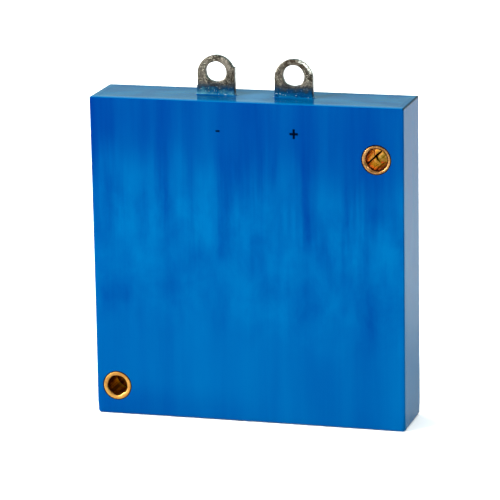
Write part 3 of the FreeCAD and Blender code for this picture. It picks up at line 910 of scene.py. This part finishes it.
def crept_resin_material():
    """The film that the resin left as it crept up the lugs: wet-looking, thin and dark at the top."""
    s = Shader("resin_film")
    gloss(s, 1.2, (0.15, 0.6, 1.0, 1.0))
    lumps = s.noise((0.9, 0.9, 0.9), detail=5, rough=0.65)
    smears = s.noise((0.35, 0.35, 0.5), detail=3, rough=0.6, offset=(2.2, 0, 0.7))
    creep = s.math("ADD", s.axis("Z"), s.math("MULTIPLY_ADD", lumps, 3.0, -1.5))
    body = s.mix(s.remap(lumps, 0.38, 0.62), (0.0, 0.015, 0.058), (0.0, 0.050, 0.120))
    smeared = s.times(s.remap(smears, 0.38, 0.62), s.remap(s.axis("X"), 4, -4))
    body = s.mix(smeared, body, (0.030, 0.105, 0.140))
    colour = s.mix(s.remap(creep, TOP_MM + 0.3, TOP_MM + 1.7), body, (0.001, 0.009, 0.024))
    colour = s.mix(s.remap(creep, TOP_MM + 1.3, TOP_MM + 2.1), colour, (0.016, 0.020, 0.024))
    # Painted highlights: pale specks scattered over the film, where glints would be.
    glint_specks = s.remap(s.noise((3.2, 3.2, 3.2), detail=2), 0.66, 0.70)
    colour = s.mix(s.times(glint_specks, 0.8), colour, (0.20, 0.26, 0.30))
    normal = s.bump(s.noise((2.0, 2.0, 2.0), detail=3), 0.12)
    return s.finish(colour, s.remap(lumps, 0.3, 0.7, 0.05, 0.22), normal)


def ink_material():
    """Thin black ink, as glossy as the plastic."""
    s = Shader("printing_ink")
    gloss(s, CASE_IOR, CASE_TINT)
    speck = s.noise((6, 6, 6), detail=3)
    colour = s.mix(s.remap(speck, 0.35, 0.7), (0.0, 0.0, 0.002), (0.0, 0.001, 0.008))
    return s.finish(colour, s.remap(speck, 0.3, 0.7, 0.35, 0.6), s.bump(speck, 0.01))


def sleeve_material(name, place, dullness, lip, bore):
    """Rolled brass. lip and bore are pairs of colours, for the mouth and for the inside; the lower left
    sleeve's dark inside is painted shade.
    """
    x, z, radius = place
    s = Shader(name, metallic=1.0)
    s.surface.inputs["Specular Tint"].default_value = (0.85, 0.52, 0.20, 1.0)
    depth = s.math("SUBTRACT", REAR_MM, s.math("ABSOLUTE", s.axis("Y")))
    cloud = s.noise((0.8, 0.8, 0.8), detail=4, rough=0.6)
    drawn = s.noise((1.0, 0.02, 1.0), detail=3, rough=0.6, offset=(0.4, 0, 0.9))
    outside = s.mix(s.remap(cloud, 0.35, 0.65), *lip)
    inside = s.mix(s.remap(cloud, 0.38, 0.62), *bore)
    inside = s.mix(s.remap(drawn, 0.50, 0.42), inside, [level * 0.25 for level in bore[0]])
    # Painted shade: a dark band just inside the mouth of the bore.
    bore_mouth_shade = s.times(s.remap(depth, 0.24, 0.40), s.remap(depth, 1.0, 0.6))
    colour = s.mix(s.remap(depth, 0.25, 0.7), outside, inside)
    colour = s.mix(s.times(bore_mouth_shade, 0.8), colour, (0.05, 0.014, 0.002))
    # Painted shade: dark at the sleeve's outer edge against the box, and where the two sleeves meet halfway
    # down the hole.
    rim = s.remap(s.from_axis(x, z), radius / MM - 0.14, radius / MM - 0.06)
    joint = s.remap(depth, REAR_MM - 0.25, REAR_MM - 0.05)
    colour = s.mix(s.math("MAXIMUM", rim, joint), colour, (0.02, 0.010, 0.004))
    rolling = s.noise((1.6, 0.25, 1.6), detail=2)
    rough = s.remap(rolling, 0.3, 0.7, dullness - 0.06, dullness + 0.06)
    return s.finish(colour, rough, s.bump(rolling, 0.015))


def lug_material(scraped_lug):
    """Hot-dipped tin over brass: grey, blotched, and stained dark next to the resin."""
    s = Shader("hot_tin", metallic=1.0)
    blotch = s.noise((0.7, 0.7, 0.55), detail=5, rough=0.65, warp=0.6, offset=(1.3, 0, 0.2))
    patch = s.noise((0.26, 0.26, 0.26), detail=2, offset=(5.1, 0, 0))
    grain = s.noise((3.6, 3.6, 3.6), detail=4, rough=0.7)
    tin = s.mix(s.remap(blotch, 0.40, 0.58), (0.014, 0.011, 0.008), (0.118, 0.104, 0.086))
    tin = s.mix(s.remap(grain, 0.42, 0.58), tin, (0.090, 0.077, 0.061))
    spoiled = s.times(s.remap(patch, 0.46, 0.56), s.remap(grain, 0.45, 0.53))
    tin = s.mix(s.times(spoiled, 0.9), tin, (0.006, 0.004, 0.002))
    bare = s.times(s.remap(grain, 0.57, 0.63), s.remap(patch, 0.44, 0.56))
    tin = s.mix(bare, tin, (0.40, 0.37, 0.29))
    edge = s.math("ADD", s.axis("Z"), s.math("MULTIPLY_ADD", s.noise((0.9, 0.9, 0.9), 3), 2.4, -1.2))
    stain = s.remap(edge, TOP_MM + 3.1, TOP_MM + 2.0)
    tin = s.mix(s.times(stain, 0.85), tin, (0.008, 0.012, 0.017))
    x, z, half = scraped_lug
    burnt = s.remap(s.noise((1.1, 1.1, 1.1), detail=3, offset=(7.7, 0, 0)), 0.42, 0.52)
    burnt = s.times(burnt, s.remap(s.axis("Z"), z / MM + 1.7, z / MM + 2.5))
    burnt = s.times(burnt, s.remap(s.axis("X"), x / MM - 3, x / MM - 1))
    tin = s.mix(s.times(burnt, 0.85), tin, (0.016, 0.010, 0.006))
    bevel = (half - BEVEL) / MM
    bared = s.remap(s.from_axis(x, z), bevel, bevel + 0.15)
    for name, centre in (("X", x), ("Z", z)):
        bared = s.times(bared, s.remap(s.axis(name), centre / MM + 0.9, centre / MM + 1.5))
    tin = s.mix(bared, tin, s.mix(s.remap(grain, 0.44, 0.54), (0.10, 0.08, 0.05), (0.80, 0.77, 0.70)))
    rough = s.math("ADD", s.remap(grain, 0.35, 0.65, 0.20, 0.42), s.times(stain, 0.1))
    return s.finish(tin, rough, s.bump(grain, 0.07, s.bump(blotch, 0.10)))


def metal_material(name, dark, light, roughness, per_mm):
    """Plain metal with the marks of rolling along it."""
    s = Shader(name, metallic=1.0)
    rolling = s.noise(per_mm, detail=4, rough=0.6)
    colour = s.mix(s.remap(rolling, 0.3, 0.7), dark, light)
    rough = s.remap(rolling, 0.3, 0.7, roughness - 0.08, roughness + 0.08)
    return s.finish(colour, rough, s.bump(rolling, 0.01))


def film_material(name, dark, light, roughness, per_mm):
    """A plastic sheet with a faint cloud and grain."""
    s = Shader(name)
    cloud = s.noise(per_mm, detail=4, rough=0.6)
    colour = s.mix(s.remap(cloud, 0.3, 0.7), dark, light)
    rough = s.remap(cloud, 0.3, 0.7, roughness - 0.06, roughness + 0.06)
    return s.finish(colour, rough, s.bump(cloud, 0.01))


def laminate_material():
    """Nylon over aluminium foil, with the fine waffle that sealing bars leave."""
    s = Shader("pouch_laminate", metallic=0.85)
    haze = s.noise((0.2, 0.2, 0.2), detail=4)
    colour = s.mix(s.remap(haze, 0.3, 0.7), (0.55, 0.56, 0.57), (0.70, 0.71, 0.72))
    normal = s.bump(s.cells((1.6, 1.6, 1.6)), 0.02, s.bump(haze, 0.05))
    return s.finish(colour, s.remap(haze, 0.3, 0.7, 0.28, 0.42), normal)


def board_material():
    """Glass-epoxy board, with the weave showing through the green."""
    s = Shader("glass_epoxy")
    across = s.add("ShaderNodeTexWave", bands_direction="X")
    along = s.add("ShaderNodeTexWave", bands_direction="Z")
    for wave in (across, along):
        s.fill(wave, Vector=s.coords((1, 1, 1)), Scale=0.6, Distortion=0.4)
    weave = s.math("MAXIMUM", across.outputs["Fac"], along.outputs["Fac"])
    colour = s.mix(weave, (0.07, 0.17, 0.05), (0.17, 0.32, 0.11))
    return s.finish(colour, s.remap(weave, 0, 1, 0.3, 0.42), s.bump(weave, 0.01))


def foam_material():
    """Closed-cell silicone foam."""
    s = Shader("silicone_foam")
    pores = s.cells((3.2, 3.2, 3.2))
    colour = s.mix(s.remap(pores, 0.1, 0.5), (0.09, 0.09, 0.095), (0.26, 0.26, 0.27))
    return s.finish(colour, s.remap(pores, 0.1, 0.5, 0.95, 0.75), s.bump(pores, 0.08))


def electrode_material(name, node, flag_mm, coating, coating_light, foil):
    """A coated sheet: a dark matt coating, and bare bright foil on the flag above it."""
    coated_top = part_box(node)[1].z / MM - flag_mm
    s = Shader(name)
    grit = s.noise((4.0, 4.0, 4.0), detail=5, rough=0.7)
    coat = s.mix(s.remap(grit, 0.3, 0.7), coating, coating_light)
    bare = s.math("GREATER_THAN", s.axis("Z"), coated_top)
    colour = s.mix(bare, coat, foil)
    rough = s.math("SUBTRACT", s.remap(grit, 0.3, 0.7, 0.7, 0.9), s.times(bare, 0.5))
    return s.finish(colour, rough, s.bump(grit, 0.02), bare)


def floor_material():
    """A pale, plain sheet."""
    s = Shader("pale_floor")
    haze = s.noise((0.002, 0.002, 0.002), detail=2)
    colour = s.mix(haze, (0.93, 0.93, 0.93), (0.95, 0.95, 0.95))
    s.surface.inputs["Specular IOR Level"].default_value = 0.1
    return s.finish(colour, 0.6)


# ---------------------------------------- inside the block


def paint(material, *names):
    """Gives CAD nodes that stay as they are their material."""
    for name in names:
        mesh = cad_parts[name].data
        mesh.materials.clear()
        mesh.materials.append(material)


def paint_inside(resin):
    """Materials for the pieces that the resin hides."""
    brass = metal_material("rivet_brass", (0.62, 0.38, 0.13), (0.82, 0.56, 0.26), 0.3, (1.5, 1.5, 1.5))
    nickel = metal_material("nickel_plate", (0.50, 0.48, 0.43), (0.68, 0.66, 0.60), 0.25, (3, 3, 0.2))
    bright = metal_material("bare_aluminium", (0.62, 0.63, 0.64), (0.80, 0.81, 0.82), 0.3, (3, 3, 0.2))
    milky = film_material("sealing_film", (0.74, 0.72, 0.60), (0.88, 0.86, 0.76), 0.35, (0.8, 0.8, 0.8))
    amber = film_material("amber_tape", (0.50, 0.22, 0.02), (0.70, 0.36, 0.06), 0.22, (0.6, 0.6, 0.2))
    white = film_material("separator_film", (0.80, 0.80, 0.78), (0.90, 0.90, 0.88), 0.6, (0.3, 2, 0.3))
    paint(resin, "resin_fill")
    paint(brass, "negative_rivets", "positive_rivets")
    paint(nickel, "negative_tab")
    paint(bright, "positive_tab")
    paint(milky, "negative_tab_film", "positive_tab_film")
    paint(amber, "seal_tapes", "stack_tapes")
    paint(white, "separator")
    paint(laminate_material(), "pouch_front", "pouch_rear")
    paint(board_material(), "terminal_board")
    graphite = electrode_material(
        "graphite_on_copper", "anode_01", ANODE_FLAG_MM,
        (0.025, 0.025, 0.028), (0.06, 0.06, 0.065), (0.80, 0.36, 0.20),
    )
    oxide = electrode_material(
        "oxide_on_aluminium", "cathode_01", CATHODE_FLAG_MM,
        (0.05, 0.045, 0.05), (0.11, 0.10, 0.11), (0.78, 0.79, 0.80),
    )
    for start, material in (("anode_", graphite), ("cathode_", oxide)):
        paint(material, *(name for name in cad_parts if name.startswith(start)))


# ---------------------------------------- studio


def make_camera():
    """The camera, at the angle that the object is shown from."""
    azimuth, elevation = math.radians(VIEW_AZIMUTH), math.radians(VIEW_ELEVATION)
    low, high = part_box("potting_box")
    aim = Vector(((low.x + high.x) / 2 + AIM_RIGHT, low.y, (low.z + high.z) / 2 + AIM_UP))
    level = math.cos(elevation)
    back = Vector((math.sin(azimuth) * level, -math.cos(azimuth) * level, math.sin(elevation)))
    data = bpy.data.cameras.new("camera")
    data.lens, data.sensor_width = LENS_MM, SENSOR_MM
    data.clip_start, data.clip_end = CLIP_NEAR, CLIP_FAR
    camera = add_object("camera", data)
    camera.rotation_mode = "QUATERNION"
    camera.location = aim + back * VIEW_DISTANCE
    roll = Quaternion((0, 0, 1), math.radians(VIEW_ROLL))
    camera.rotation_quaternion = (-back).to_track_quat("-Z", "Y") @ roll
    bpy.context.scene.camera = camera


def soft_light(name, place, size, power):
    """A square softbox that faces the object."""
    data = bpy.data.lights.new(name, "AREA")
    data.shape = "SQUARE"
    data.size, data.energy = size, power
    light = add_object(name, data)
    light.location = place
    toward = Vector(LIGHTS_AIM) - Vector(place)
    light.rotation_mode = "QUATERNION"
    light.rotation_quaternion = toward.to_track_quat("-Z", "Y")


def make_world():
    """Soft studio surroundings: pale at the horizon and dimmer overhead."""
    world = bpy.data.worlds.new("studio")
    bpy.context.scene.world = world
    world.use_nodes = True
    tree = world.node_tree
    place = tree.nodes.new("ShaderNodeTexCoord")
    split = tree.nodes.new("ShaderNodeSeparateXYZ")
    ramp = tree.nodes.new("ShaderNodeValToRGB")
    tree.links.new(place.outputs["Generated"], split.inputs[0])
    tree.links.new(split.outputs["Z"], ramp.inputs[0])
    tree.links.new(ramp.outputs[0], tree.nodes["Background"].inputs["Color"])
    stops = ramp.color_ramp.elements
    while len(stops) < len(SKY):
        stops.new(0.5)
    for element, (position, colour) in zip(stops, SKY):
        element.position = position
        element.color = (*colour, 1.0)
    tree.nodes["Background"].inputs["Strength"].default_value = SKY_STRENGTH


def make_studio():
    """A pale floor, soft surroundings and the softboxes."""
    corners = [(x * FLOOR_HALF, y * FLOOR_HALF, 0) for x, y in ((-1, -1), (1, -1), (1, 1), (-1, 1))]
    floor = add_object("floor", mesh_from("floor", corners, [(0, 1, 2, 3)]))
    floor.data.materials.append(floor_material())
    make_world()
    for light in LIGHTS:
        soft_light(*light)
    view = bpy.context.scene.view_settings
    view.view_transform, view.look = "Standard", "None"


# ---------------------------------------- the scene


make_camera()
make_studio()
resin = resin_material()
make_potting_box(case_material(hole_places().values()), resin)
make_resin_top(resin, crept_resin_material())
tin = lug_material(head_circle("positive_lug", LUG_SHAPES["positive_lug"]))
for lug_seed, (lug_node, lug_shape) in enumerate(LUG_SHAPES.items(), start=LUG_SEED):
    make_lug(f"{lug_node}_tinned", lug_node, lug_shape, lug_seed, tin)
for hole_name, look in SLEEVE_LOOKS.items():
    brass = sleeve_material(f"{hole_name}_brass", hole_places()[hole_name], *look)
    for end_name in ("front", "rear"):
        make_sleeve(hole_name, end_name, brass)
make_marks(ink_material())
silicone = foam_material()
for pad_node in ("front_foam_pad", "rear_foam_pad"):
    make_foam_pad(pad_node, silicone)
paint_inside(resin)
